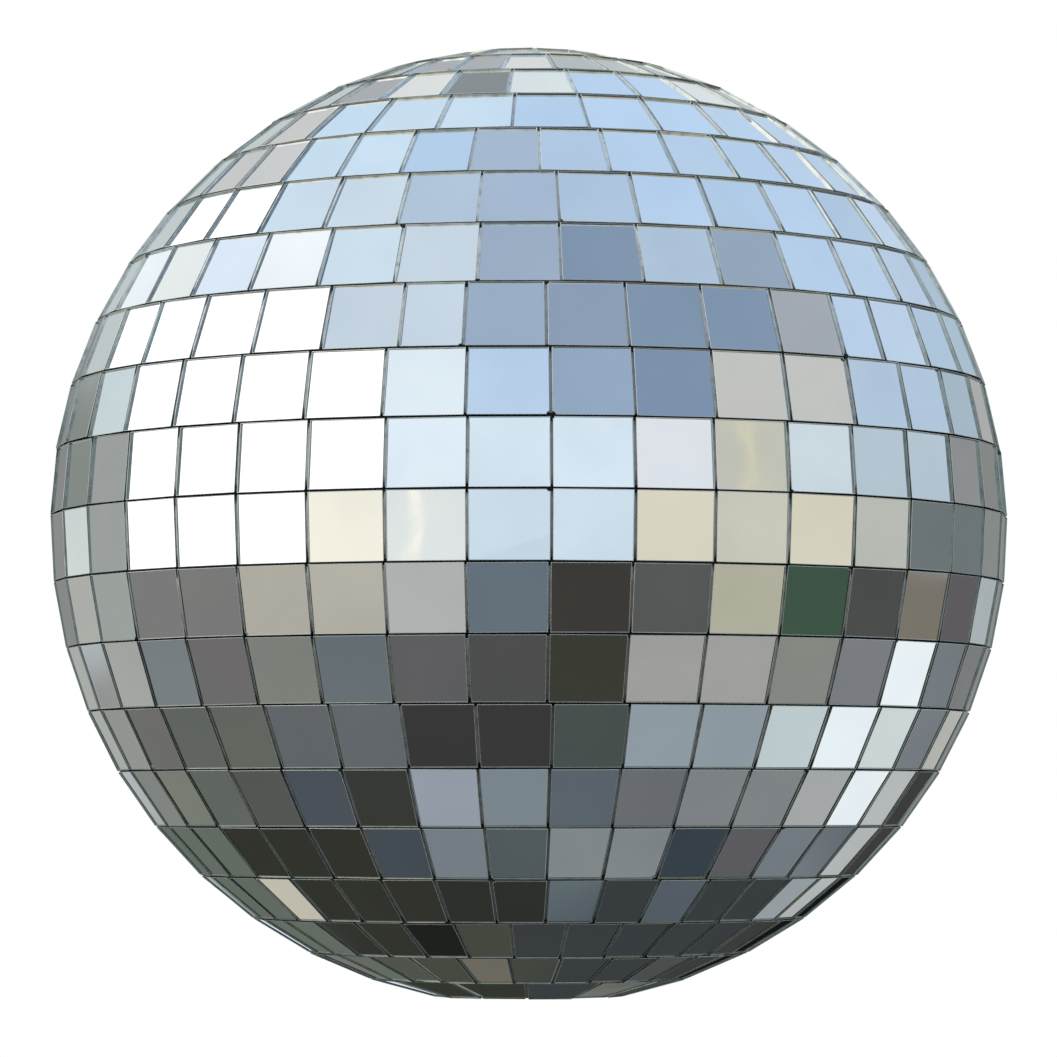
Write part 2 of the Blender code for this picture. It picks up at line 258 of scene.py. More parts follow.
def mirror_silver():
    """Silvered glass: near-perfect mirror with a trace of float-glass waviness and handling haze."""
    tree, place = new_material("mirror_silver", metallic=1.0)
    island = tree.island()
    tones = ((0.90, 0.93, 0.92, 1), (0.95, 0.96, 0.96, 1), (0.93, 0.93, 0.91, 1))
    tone = tree.ramp(island, list(zip((0.0, 0.5, 1.0), tones)))
    cloud = tree.noise(place, 45.0, 3.0)[0]
    veil = tree.mix(tree.step(cloud, 0.35, 0.75), tone, (0.90, 0.91, 0.92, 1))
    speck = tree.step(tree.cells(place, 900.0)[0], 0.10, 0.02)
    dust = tree.math("MULTIPLY", speck, tree.step(tree.noise(place, 160.0)[0], 0.55, 0.7))
    colour = tree.mix(tree.math("MULTIPLY", dust, 0.35), veil, (0.72, 0.72, 0.70, 1))
    haze = tree.step(tree.noise(place, 95.0, 4.0, 0.6)[0], 0.45, 0.72)
    rough = tree.math("MULTIPLY_ADD", haze, 0.022, tree.span(island, 0.008, 0.022))
    rough = tree.math("MULTIPLY_ADD", dust, 0.2, rough)
    wave = tree.noise(place, 38.0, 1.0)[0]
    return dress(tree, colour, rough, wave, 0.00003)


def mirror_rim():
    """Arris and outermost edge of the glass, which gather a thin line of light."""
    tree, place = new_material("mirror_rim", metallic=0.8, ior=1.52)
    tone = tree.ramp(tree.island(), [(0.0, "BCC5C0"), (0.45, "D6DBD7"), (1.0, "E6E6DE")])
    grain = tree.noise(place, 1100.0, 3.0)[0]
    colour = tree.mix(tree.step(grain, 0.5, 0.95), tone, "A4ADA7")
    return dress(tree, colour, tree.span(grain, 0.14, 0.30), grain, 0.000002)


def mirror_inner_side():
    """Side of a tile seen through its own glass: it mirrors like the silvering, with snapping ripples."""
    tree, place = new_material("mirror_inner_side", metallic=0.96, ior=1.52)
    tone = tree.ramp(tree.island(), [(0.0, "C2C4BC"), (0.5, "D2D3CB"), (1.0, "E0DED4")])
    ripple = tree.noise(place, 300.0, 2.0)[0]
    tone = tree.mix(tree.step(ripple, 0.4, 0.8), tone, "A7B1AE")
    # Painted shade: the lower rows are darkened by height on the ball.
    colour = tree.age(tone, place, (0.34, 0.37, 0.36, 1))
    return dress(tree, colour, tree.span(ripple, 0.06, 0.16), ripple, 0.00002)


def mirror_cut_edge():
    """Snapped outer side of the glass: grey to bottle green with conchoidal ripples."""
    tree, place = new_material("mirror_cut_edge", metallic=0.6, ior=1.52, coat_weight=0.4)
    tone = tree.ramp(tree.island(), [(0.0, "7F898A"), (0.6, "9EA7A9"), (1.0, "B6BEC1")])
    ripple = tree.noise(place, 500.0, 2.0)[0]
    tone = tree.mix(tree.step(ripple, 0.4, 0.85), tone, "6A7576")
    # Painted shade: the lower rows are darkened by height on the ball.
    colour = tree.age(tone, place, (0.36, 0.39, 0.37, 1))
    return dress(tree, colour, tree.span(ripple, 0.14, 0.34), ripple, 0.00002)


def tile_adhesive():
    """Black contact adhesive that the tiles are bedded in."""
    tree, place = new_material("tile_adhesive", ior=1.45)
    lumps = tree.noise(place, 420.0, 4.0, 0.6)[0]
    dust = tree.step(tree.noise(place, 60.0, 3.0)[0], 0.5, 0.75)
    base = tree.mix(lumps, "0E0F10", "26282A")
    colour = tree.mix(tree.math("MULTIPLY", dust, 0.3), base, "4A4C4B")
    return dress(tree, colour, tree.span(lumps, 0.35, 0.8), lumps, 0.0002)


def joint_adhesive():
    """Adhesive squeezed up between tiles: a glossy grey skin that takes on the glass beside it."""
    tree, place = new_material("joint_adhesive", metallic=0.7, ior=1.45)
    tone = tree.ramp(tree.island(), [(0.0, "A3A8A9"), (0.5, "C2C6C6"), (1.0, "DADBD6")])
    lumps = tree.noise(place, 420.0, 3.0, 0.6)[0]
    tone = tree.mix(tree.step(lumps, 0.4, 0.85), tone, "8E9393")
    # Painted shade: the lower rows are darkened by height on the ball.
    colour = tree.age(tone, place, (0.42, 0.44, 0.44, 1))
    return dress(tree, colour, tree.span(lumps, 0.22, 0.42), lumps, 0.00003)


def core_plastic():
    """Moulded black plastic with a fine spark-eroded grain and faint flow marks."""
    tree, place = new_material("core_plastic", ior=1.50)
    grain = tree.noise(place, 1800.0, 2.0)[0]
    flow = tree.noise(place, 30.0, 4.0, 0.6)[0]
    base = tree.mix(tree.step(flow, 0.35, 0.7), "17181A", "26282B")
    colour = tree.mix(tree.step(grain, 0.6, 0.9), base, "3A3C3F")
    return dress(tree, colour, tree.span(flow, 0.48, 0.66), grain, 0.00006, 0.8)


def chrome_steel():
    """Chrome plate: bright, with fine turning lines, wipe marks and a few dull pits."""
    tree, place = new_material("chrome_steel", metallic=1.0)
    parts = tree.add("SeparateXYZ", {0: place}).outputs
    squares = [tree.math("POWER", part, 2.0) for part in (parts[0], parts[1])]
    radius = tree.math("SQRT", tree.math("ADD", *squares))
    around = tree.add("CombineXYZ", {0: radius, 2: parts[2]}).outputs[0]
    lines = tree.noise(around, 2600.0, 2.0)[0]
    wipe = tree.noise(place, 130.0, 5.0, 0.65)[0]
    pits = tree.step(tree.cells(place, 1100.0)[0], 0.09, 0.02)
    base = tree.mix(tree.step(wipe, 0.4, 0.75), "E3E5E8", "CBCED2")
    colour = tree.mix(tree.math("MULTIPLY", pits, 0.5), base, "7D7A74")
    rough = tree.math("ADD", tree.span(wipe, 0.05, 0.16), tree.math("MULTIPLY", lines, 0.06))
    height = tree.math("SUBTRACT", lines, tree.math("MULTIPLY", pits, 2.0))
    return dress(tree, colour, rough, height, 0.000004)


def zinc_steel():
    """Bright zinc plate: mottled grain, a faint yellow and blue cast, dull rubbed patches."""
    tree, place = new_material("zinc_steel", metallic=1.0)
    mottle = tree.cells(place, 700.0)["Color"]
    shade = tree.add("SeparateColor", {0: mottle}).outputs[0]
    cast = tree.noise(place, 90.0, 3.0)[0]
    tone = tree.ramp(cast, [(0.3, "B9BDC4"), (0.5, "C6C6C2"), (0.7, "CBC3AC")])
    colour = tree.mix(tree.math("MULTIPLY", shade, 0.3), tone, "8E9196")
    rub = tree.noise(place, 260.0, 5.0, 0.7)[0]
    return dress(tree, colour, tree.span(rub, 0.22, 0.46), rub, 0.00002)


def nylon():
    """Natural nylon: creamy, slightly translucent, with turning marks and grey wear."""
    glow = {"subsurface_weight": 0.15, "subsurface_scale": 0.002}
    tree, place = new_material("nylon", ior=1.53, **glow)
    wear = tree.noise(place, 240.0, 4.0)[0]
    turned = tree.noise(place, 1500.0, 2.0)[0]
    base = tree.mix(tree.step(wear, 0.45, 0.75), "E6E2D4", "C4BFAF")
    colour = tree.mix(tree.step(turned, 0.6, 0.9), base, "D8D3C3")
    return dress(tree, colour, tree.span(wear, 0.34, 0.55), turned, 0.00003, 0.6)


def floor_paint():
    """Matt white studio floor with a barely visible mottle."""
    tree, place = new_material("studio_floor", specular_ior_level=0.0, roughness=1.0)
    mottle = tree.noise(place, 6.0, 5.0)[0]
    tree.put(tree.shader["Base Color"], tree.mix(mottle, (0.955, 0.955, 0.955, 1), (0.985, 0.985, 0.985, 1)))
    return tree.material


# ---- surroundings

# Panels of the surroundings, in degrees: azimuth (0 towards the camera's side, + to its right),
# elevation, half width, half height, soft edge, colour. Later panels cover earlier ones.
SKY_PANELS = (
    ("zenith", 0, 90, 180, 15, 8, "A6BAD2"),
    ("front sky", -2, 56, 26, 22, 8, "9DB0C8"),
    ("pale front", -40, 50, 18, 15, 6, "C6D5E3"),
    ("slate cloud", 32, 54, 21, 13, 5, "8094AD"),
    ("slate bank", 56, 41, 22, 6, 3, "8095AE"),
    ("slate low", 38, 29, 11, 9, 3, "7A8FAA"),
    ("slate edge", 15, 30, 9, 5, 3, "93A8C1"),
    ("slate step", 18, 47, 8, 4, 2, "8C9FB8"),
    ("thin cloud", 86, 50, 9, 6, 3, "93A5BA"),
    ("wall return", 87, 36, 8, 5, 2, "A4ABB5"),
    ("grey wall", 69, 26, 19, 7, 1.5, "C1C2C0"),
    ("left haze", -94, 59, 36, 9, 6, "CCDDEB"),
    ("left sky", -147, 55, 22, 11, 5, "CBE1F3"),
    ("window glow", -88, 48, 20, 6, 3, "EDF3F8"),
    ("high window", -126, 32, 25, 14, 1.5, "FFFFFF"),
    ("great window", -71, 15.5, 36, 26, 1.2, "FFFFFF"),
    ("pale veil", -112, 42, 8, 4, 2, "DEEBF9"),
    ("soft patch", -129, 31, 5, 4, 3, "E4E9EA"),
    ("window jamb", -122, 6, 10, 8, 2, "9B9E9C"),
    ("jamb glow", -127, 15, 6, 3.5, 1.5, "C9D6DB"),
    ("pale blind", -26, 21, 10, 17, 3, "DEEBF5"),
    ("lit wall", 36, 12, 9, 7, 2, "DADFE6"),
    ("low wall", 55, 13, 9, 6, 2, "C3C3B8"),
    ("far pane", 74, 12, 9, 6, 2, "C8D5DC"),
    ("right veil", 118, 18.5, 26, 4.5, 2, "B0C6DC"),
    ("cloud tip", 61, 57, 6, 4, 2, "ACC2D8"),
    ("right haze", 104, 10, 20, 5, 2, "B5C5D1"),
    ("blue haze", 137, 13, 9, 3, 2, "A4B6C4"),
    ("right building", 139, 6, 17, 4.5, 2, "8B8D8F"),
    ("far building", 127, -1, 24, 5, 1.5, "6D7678"),
    ("far trunk", 130, -6, 9, 4, 1.5, "5F5C5F"),
    ("back mist", 178, 26, 9, 8, 3, "B5BDBF"),
    ("back glow", 170, 29, 4, 3, 2, "DADFE1"),
    ("pale lintel", 178, 50, 5, 3, 1.5, "D8E2E6"),
    ("back wall", 180, 4, 34, 10, 2, "868988"),
    ("right roof", 159, 9.5, 7, 3.5, 1.5, "A9ABA9"),
    ("edge haze", 156, 14, 6, 3, 2, "A9BDCE"),
    ("lit post", 149, -3.5, 6, 1.8, 1, "A7B0B2"),
    ("low post", 149, -7.5, 5, 2, 1, "797A7C"),
    ("back pillar", -140, 8, 9, 6, 2, "858A86"),
    ("back pane", -139, 1, 5, 4, 1.5, "CDD4D2"),
    ("back sill", -153, -6, 18, 3, 1.5, "A9ABA6"),
    ("grey shutter", -121, -7, 8, 2.5, 1.5, "9DA29D"),
    ("back blind", -158, 19, 16, 7, 2, "BFC8C9"),
    ("pale pane", -146, 22, 5, 4, 1.5, "E8F0F5"),
    ("back eaves", -162, 33, 12, 6, 2, "C7C9C8"),
    ("back shade", -171, 31, 6, 4.5, 1.5, "AAAEB3"),
    ("pale beam", 180, 36, 2.5, 3, 1, "D9DCDB"),
    ("back lamp", -167, 43, 4, 3.5, 1.5, "DDDFDF"),
    ("dark vent", -173, 49, 5, 3.5, 1, "868D91"),
    ("right crown", 118, 76, 46, 6, 4, "B4CCE8"),
    ("dark limb", 172, -8, 9, 2.5, 1.5, "353634"),
    ("grey gable", -145, 42, 5, 3, 1.5, "CACCCD"),
    ("blue crown", -66, 75, 14, 4, 2, "B1C5D9"),
    ("cream sill", 36, -3, 9, 4.5, 1.2, "DBD4C3"),
    ("grey sill", 54, -3, 9, 4.5, 1.2, "C8C7B9"),
    ("cream post", 73, -3, 9, 4.5, 1.2, "D6D0BE"),
    ("stone post", 92, -2, 9, 4.5, 1.2, "B9BCB4"),
    ("window sill", -44, -3, 9, 4.5, 1.2, "F3EFE1"),
    ("sill end", -25, -3, 9, 4.5, 1.2, "DEE2E1"),
)
GROUND_PANELS = (
    ("left grass", -90, -35, 36, 9, 3, "60655F"),
    ("dark nadir", -150, -72, 38, 8, 3, "2D302B"),
    ("blue nadir", 154, -75, 10, 4, 2, "66737A"),
    ("nadir path", -83, -78, 14, 4, 2, "767E85"),
    ("blue post", -107, -20, 9, 4, 1.5, "797F82"),
    ("plum post", -88, -25, 9, 5, 1.5, "6E6B6C"),
    ("pale grass", -69, -30, 9, 5, 1.5, "7F817B"),
    ("brown grass", -129, -22, 9, 4, 1.5, "6D6C69"),
    ("mid grass", -136, -29, 8, 3.5, 1.5, "787C72"),
    ("right floor", 100, -50, 46, 12, 3, "7E8286"),
    ("dark behind", 160, -50, 26, 24, 3, "393D40"),
    ("black corner", 172, -14, 12, 5, 2, "131514"),
    ("dark corner", 167, -27, 9, 7, 2, "3A3C3C"),
    ("pale corner", 171, -30, 5, 4, 2, "4B4D4D"),
    ("olive corner", -172, -49, 9, 14, 3, "44483F"),
    ("black lawn", -162, -55, 6, 4, 2, "1E211E"),
    ("cool gap", 140, -59, 5, 4, 2, "545D65"),
    ("dark olive", -128, -52, 32, 14.5, 1.5, "32332D"),
    ("deep grass", -107, -45, 8, 3.5, 1.5, "555653"),
    ("dark patch", -70, -60, 9, 5, 2, "393A35"),
    ("night floor", -101, -68, 10, 4, 2, "434B53"),
    ("grey patch", -60, -46, 18, 6, 3, "62666A"),
    ("slate", -5, -20, 10, 9, 1.5, "64707A"),
    ("dark chair", 15, -20, 10, 10, 1.5, "3D3B37"),
    ("chair back", 35, -18, 10, 8, 1.5, "565857"),
    ("beige box", 55, -17, 10, 8, 1.5, "B1AF9D"),
    ("green case", 74, -15, 9, 8, 1.5, "3E5446"),
    ("dark trunk", 93, -12, 9.5, 6, 1.5, "4A4C4A"),
    ("cool step", 97, -23, 8, 5, 2, "797B7F"),
    ("brown trunk", 112, -8, 9, 5, 1.5, "787369"),
    ("shaded trunk", 130, -6, 9, 5, 1.5, "5F5C5F"),
    ("cool post", 135, -15, 9, 4, 1.5, "757B80"),
    ("beige floor", -55, -17, 20, 7, 1.5, "B0ADA2"),
    ("pale floor", -25, -19, 10, 7, 1.5, "B2B4B3"),
    ("shaded floor", -94, -13, 19, 6, 1.5, "7A7A79"),
    ("left path", -124, -13, 9, 6, 2, "A4A5A2"),
    ("path edge", -145, -12, 11, 5, 2, "929491"),
    ("blue shade", -48, -34, 10, 6, 2, "677074"),
    ("shadow", -8, -40, 14, 8, 2, "4D4D4D"),
    ("grey shadow", -28, -35, 9, 6, 1.5, "5D5D5F"),
    ("deep shadow", -18, -52, 22, 6, 2, "393839"),
    ("green rug", 22, -53, 9, 5, 2, "474F4D"),
    ("dark rug", 16, -38, 9, 10, 2, "3B3D34"),
    ("grey rug", 48, -33, 20, 6, 1.5, "9D9D9B"),
    ("rug hem", 78, -28, 9, 6, 2, "868882"),
    ("blue rug", 57, -47, 21, 7, 2, "8F9AA2"),
    ("rug edge", 88, -39, 9, 6, 2, "BCC9CD"),
    ("plum floor", 40, -60, 30, 6, 3, "686B70"),
    ("lit floor", 117, -39, 9, 5, 2, "A5A7A7"),
    ("bright gap", 119, -26, 17, 10, 2, "E6EEF3"),
    ("gap veil", 125, -24, 4, 4, 2, "CAD3D3"),
    ("far path", 152, -22, 10, 4, 1.5, "B1B4B5"),
    ("wet patch", 153, -31, 5, 4, 1.5, "949DA2"),
    ("edge sill", 156, -10, 3.5, 2, 1, "B1B2AD"),
    ("cool floor", 134, -38, 9, 6, 2, "727980"),
    ("dark step", 160.5, -13, 5, 4.5, 1, "3C3C3A"),
    ("blue patch", 109, -62, 7, 5, 2, "364049"),
    ("plum patch", 120, -52, 7, 4, 2, "5B5A5E"),
    ("night blue", -95, -54, 10, 7, 2, "4B525B"),
    ("stone", -18, -70, 30, 7, 3, "7B868D"),
    ("pale stone", -44, -66, 12, 6, 2, "929BA6"),
    ("stone right", 85, -77, 45, 7, 3, "7F8588"),
    ("green ground", -158, -25, 16, 8, 2, "626B62"),
    ("green verge", -167, -13, 4, 5, 1.5, "646C63"),
    ("dark verge", -177, -25, 4, 7, 1.5, "32362F"),
    ("moss patch", -168, -33, 3, 2.5, 1, "4F524C"),
    ("clay patch", -176, -44, 3, 3, 1.5, "6D6A60"),
    ("pale verge", -149, -18, 4.5, 2.5, 1, "828582"),
    ("cream patch", -149, -37, 6, 5, 1.5, "BEBAAB"),
)
GLEAMS = (
    ("bright strip", -23.5, -2.8, 0.05, 0.6, 0.06, "FFFDF2"),
    ("warm strip", 54.25, 12.6, 0.05, 0.6, 0.14, "DEDABC"),
)


def panel_group():
    """Node group: cover a colour with a soft-edged panel given by azimuth and elevation."""
    group = bpy.data.node_groups.new("panel", "ShaderNodeTree")
    for name in ("Azimuth", "Elevation", "Centre", "Height", "Half Width", "Half Height", "Soft"):
        group.interface.new_socket(name, in_out="INPUT", socket_type="NodeSocketFloat")
    for name in ("Under", "Colour"):
        group.interface.new_socket(name, in_out="INPUT", socket_type="NodeSocketColor")
    group.interface.new_socket("Colour", in_out="OUTPUT", socket_type="NodeSocketColor")
    tree = Tree(group)
    given = group.nodes.new("NodeGroupInput").outputs
    aside = tree.math("WRAP", tree.math("SUBTRACT", given["Azimuth"], given["Centre"]), 180.0, -180.0)
    above = tree.math("SUBTRACT", given["Elevation"], given["Height"])
    mask = None
    for offset, half in ((aside, given["Half Width"]), (above, given["Half Height"])):
        inside = tree.math("SUBTRACT", half, tree.math("ABSOLUTE", offset))
        share = tree.math("DIVIDE", inside, given["Soft"])
        part = tree.step(share, -0.5, 0.5)
        mask = part if mask is None else tree.math("MULTIPLY", mask, part)
    result = group.nodes.new("NodeGroupOutput")
    tree.put(result.inputs[0], tree.mix(mask, given["Under"], given["Colour"]))
    return group


def cover(tree, group, colour, panels, azimuth, elevation):
    """Lay panels over a colour, each on top of the ones before it."""
    for _, centre, level, half_width, half_height, soft, code in panels:
        panel = tree.add("Group", node_tree=group)
        tint = WINDOW_LIGHT if code == "FFFFFF" else code
        values = (azimuth, elevation, centre, level, half_width, half_height, soft, colour, tint)
        for socket, value in zip(panel.inputs, values):
            tree.put(socket, value)
        colour = panel.outputs[0]
    return colour


def surroundings():
    """World: white for the camera, soft daylight for matt surfaces, a detailed view for mirrors."""
    world = bpy.data.worlds.new("surroundings")
    bpy.context.scene.world = world
    world.use_nodes = True
    world.cycles.sampling_method = "NONE"
    world.node_tree.nodes.clear()
    tree = Tree(world.node_tree)
    direction = tree.add("TexCoord").outputs["Generated"]
    x, y, z = tree.add("SeparateXYZ", {0: direction}).outputs
    wobble = tree.add("SeparateColor", {0: tree.noise(direction, 14.0, 2.0)["Color"]}).outputs
    turn = tree.math("DEGREES", tree.math("ARCTAN2", x, tree.math("MULTIPLY", y, -1.0)))
    rise = tree.math("DEGREES", tree.math("ARCSINE", z))
    azimuth = tree.math("ADD", turn, tree.span(wobble[0], -WOBBLE, WOBBLE))
    elevation = tree.math("ADD", rise, tree.span(wobble[1], -WOBBLE, WOBBLE))

    height = tree.math("DIVIDE", tree.math("ADD", elevation, 90.0), 180.0)
    sky = tree.ramp(height, [(0.47, "CBDBE8"), (0.58, "D5E5F1"), (0.65, "BAD0E8"), (0.78, "B8D2EF")])
    cell = tree.add("SeparateColor", {0: tree.cells(direction, 5.2)["Color"]}).outputs
    sky = tree.mix(tree.step(cell[0], 0.55, 1.0), sky, tree.mix(0.22, sky, "8FA3BB"))
    ground = tree.ramp(height, [(0.12, "56606A"), (0.25, "4A4E4C"), (0.36, "6D706D"), (0.45, "8F908C")])
    clutter = [(0.0, "3C3D38"), (0.16, "5E666C"), (0.32, "77786F"), (0.48, "54565A")]
    clutter += [(0.64, "8B8D8C"), (0.8, "4A514A"), (0.92, "A8A89F")]
    ground = tree.mix(0.42, ground, tree.ramp(cell[1], clutter, constant=True))

    group = panel_group()
    sky = cover(tree, group, sky, SKY_PANELS, azimuth, elevation)
    ground = cover(tree, group, ground, GROUND_PANELS, azimuth, elevation)
    view = tree.mix(tree.step(elevation, *HORIZON), ground, sky)
    mottle = tree.span(tree.noise(direction, 26.0, 3.0, 0.55)[0], 0.95, 1.19)
    view = tree.mix(1.0, view, mottle, "MULTIPLY")
    bend = tree.span(tree.noise(direction, 190.0, 1.0)[0], -BEND, BEND)
    view = cover(tree, group, view, GLEAMS, tree.math("ADD", turn, bend), rise)

    path = tree.add("LightPath").outputs
    daylight = tree.mix(tree.step(z, -0.35, 0.0), (0.38, 0.38, 0.37, 1), (1.08, 1.08, 1.08, 1))
    seen = tree.mix(path["Is Diffuse Ray"], view, daylight)
    seen = tree.mix(path["Is Camera Ray"], seen, (1.0, 1.0, 1.0, 1))
    background = tree.add("Background", {"Color": seen, "Strength": 1.0})
    output = tree.add("OutputWorld")
    tree.put(output.inputs["Surface"], background.outputs[0])
    return world


# ---- mesh helpers


def add_object(name, data):
    """A new object in the scene."""
    thing = bpy.data.objects.new(name, data)
    bpy.context.collection.objects.link(thing)
    return thing


def mesh_of(name, shape):
    """A mesh made of a bmesh, which is freed."""
    mesh = bpy.data.meshes.new(name)
    shape.to_mesh(mesh)
    shape.free()
    return mesh


def circle(count):
    """Angles of evenly spaced points round a circle."""
    return [math.tau * index / count for index in range(count)]


def finish_piece(name, shape, body, nodes, slot, smooth_angle=SMOOTH, materials=None):
    """Turn a bmesh into a piece that rides a body and stands for CAD nodes."""
    bmesh.ops.recalc_face_normals(shape, faces=shape.faces)
    mesh = mesh_of(name, shape)
    for key in materials or [slot]:
        mesh.materials.append(MATERIALS[key])
    if smooth_angle is not None:
        mesh.shade_smooth()
        mesh.set_sharp_from_angle(angle=math.radians(smooth_angle))
    piece = add_object(name, mesh)
    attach(piece, body)
    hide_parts(*nodes)


def band_faces(shape, first, second, material=0):
    """Join two rings of vertices with quads."""
    count = len(first)
    for index in range(count):
        after = (index + 1) % count
        face = shape.faces.new((first[index], first[after], second[after], second[index]))
        face.material_index = material


def skin(shape, rings, closed=True):
    """Join rings of vertices in order, back to the first one or with a cap on each end."""
    for first, second in zip(rings, rings[1:] + rings[:1] if closed else rings[1:]):
        band_faces(shape, first, second)
    if not closed:
        shape.faces.new(reversed(rings[0]))
        shape.faces.new(rings[-1])


# ---- tiles


def read_tiles(node):
    """Place, axes and size of a row's tiles: the flat faces whose corners all lie on the sphere."""
    mesh = node.data
    found = []
    for polygon in mesh.polygons:
        corners = [mesh.vertices[index].co for index in polygon.vertices]
        if min(corner.length for corner in corners) < BALL_RADIUS - ON_SPHERE:
            continue
        match = next((tile for tile in found if tile[0].dot(polygon.normal) > ONE_WAY), None)
        if match:
            match[1].extend(corners)
        else:
            found.append((polygon.normal.copy(), list(corners)))
    tiles = []
    for normal, corners in found:
        up = (Vector((0, 0, 1)) - normal * normal.z).normalized()
        right = up.cross(normal)
        across = [corner.dot(right) for corner in corners]
        along = [corner.dot(up) for corner in corners]
        middle = (min(along) + max(along)) / 2
        widths = []
        for side in (-1, 1):
            edge = [a for a, b in zip(across, along) if side * (b - middle) > 0]
            widths.append(max(edge) - min(edge))
        level = sum(corner.dot(normal) for corner in corners) / len(corners)
        centre = right * (min(across) + max(across)) / 2 + up * middle + normal * level
        turn = math.atan2(normal.x, -normal.y)
        tiles.append((turn, centre, (right, up, normal), (*widths, max(along) - min(along))))
    return sorted(tiles, key=lambda tile: tile[0])


def tile_outline(width, height, dice):
    """Outline of a hand-cut tile from -1 to 1 each way, anticlockwise, with cut or chipped corners."""
    points = []
    for across, along in ((1, -1), (1, 1), (-1, 1), (-1, -1)):
        chipped = dice.random() < CHIP_CHANCE
        first, second = (dice.uniform(*(CHIP if chipped else CORNER)) for _ in range(2))
        before = (across, along * (1 - 2 * first / height))
        after = (across * (1 - 2 * second / width), along)
        bite = [before, after] if across * along > 0 else [after, before]
        if chipped:
            share = dice.uniform(*CHIP_PEAK)
            sides = zip(*bite, (across, along))
            bite.insert(1, tuple(a * share + b * (1 - share) - CHIP_BITE * s for a, b, s in sides))
        points.extend(bite)
    return points


def add_tile(shape, tile, silver_depth, dice):
    """One piece of glass: outer sides, arris, front edge, sides seen through the glass, silvering."""
    _, centre, (right, up, normal), (low, high, height) = tile
    trims = [dice.uniform(*TRIM) for _ in range(2)]
    low, high, height = low - 2 * trims[0], high - 2 * trims[0], height - 2 * trims[1]
    turn = Matrix.Rotation(dice.gauss(0, TWIST / 2), 3, normal)
    turn = Matrix.Rotation(dice.gauss(0, TILT / 2), 3, up) @ turn
    turn = Matrix.Rotation(dice.gauss(0, TILT / 2), 3, right) @ turn
    right, up, normal = turn @ right, turn @ up, turn @ normal
    front = centre - normal * dice.uniform(*SINK)
    outline = tile_outline((low + high) / 2, height, dice)
    lip = ARRIS + RIM
    rings = []
    for inset, depth in ((0, GLASS), (0, ARRIS), (ARRIS, 0), (lip, 0), (lip + LEAN, silver_depth)):
        ring = []
        for across, along in outline:
            reach = along * (height / 2 - inset)
            half = (low + high) / 4 + (high - low) / 2 * reach / height - inset
            ring.append(shape.verts.new(front + right * across * half + up * reach - normal * depth))
        rings.append(ring)
    shape.faces.new(reversed(rings[0])).material_index = OUTER_SIDE
    for number, material in ((0, OUTER_SIDE), (1, EDGE), (2, EDGE), (3, INNER_SIDE)):
        band_faces(shape, rings[number], rings[number + 1], material)
    shape.faces.new(rings[-1]).material_index = SILVER


def add_bead(shape, first, second, dice):
    """Adhesive squeezed up between two neighbouring tiles, highest in its middle."""
    right = (second[1] - first[1]).normalized()
    up = (first[2][1] + second[2][1]).normalized()
    out = right.cross(up).normalized()
    reach = min(first[3][2], second[3][2]) / 2
    fill = 1 - out.z ** 8  # the adhesive comes closer to the tiles' ends near the poles
    low, high = fill * dice.uniform(*BEAD_END) - reach, reach - fill * dice.uniform(*BEAD_END)
    start = first[1] + first[2][0] * (first[3][0] + first[3][1]) / 4
    finish = second[1] - second[2][0] * (second[3][0] + second[3][1]) / 4
    middle = (start + finish) / 2
    half = (finish - start).length / 2 + BEAD_KEY
    top = dice.uniform(*BEAD_TOP)
    sections = []
    for step in range(BEAD_STEPS + 1):
        share = step / BEAD_STEPS
        crown = top + BEAD_FALL * fill * abs(2 * share - 1) ** 8 + dice.uniform(-BEAD_RIPPLE, BEAD_RIPPLE)
        spot = middle + up * (low + (high - low) * share)
        lip = crown + BEAD_LIP
        profile = ((-half, BEAD_FOOT), (half, BEAD_FOOT), (half, lip), (0, crown), (-half, lip))
        sections.append([shape.verts.new(spot + right * side - out * depth) for side, depth in profile])
    skin(shape, sections, closed=False)


def bed_radius(latitude, longitude, offset):
    """Outer radius of the adhesive, which rises and falls a little under the tiles."""
    wave = math.sin(31 * longitude + offset) * math.cos(47 * latitude + 2 * offset)
    return BED_OUTER + BED_WAVES[0] * wave + BED_WAVES[1] * math.sin(113 * longitude + 3 * offset)


def adhesive_bed(name, node, dice):
    """Closed band of adhesive behind one row, from its lower line to its upper line."""
    spots = [vertex.co for vertex in NODES[node].data.vertices]
    corners = [spot for spot in spots if spot.length > BALL_RADIUS - ON_SPHERE]
    latitudes = [math.asin(corner.z / corner.length) for corner in corners]
    spare = BED_SPARE / BALL_RADIUS
    low, high = min(latitudes) - spare, max(latitudes) + spare
    steps = max(3, round((high - low) / BED_STEP))
    turns = circle(round(math.tau / BED_STEP))
    offset = dice.uniform(0, math.tau)
    shape = bmesh.new()
    levels = [(low + (high - low) * step / steps, None) for step in range(steps + 1)]
    rings = []
    for latitude, inner in (*levels, (high, BED_INNER), (low, BED_INNER)):
        ring = []
        for longitude in turns:
            radius = inner or bed_radius(latitude, longitude, offset)
            flat = radius * math.cos(latitude)
            spot = (flat * math.sin(longitude), -flat * math.cos(longitude), radius * math.sin(latitude))
            ring.append(shape.verts.new(spot))
        rings.append(ring)
    skin(shape, rings)
    finish_piece(name, shape, "ball", [node], "mirror_glass", 40, ["tile_adhesive"])


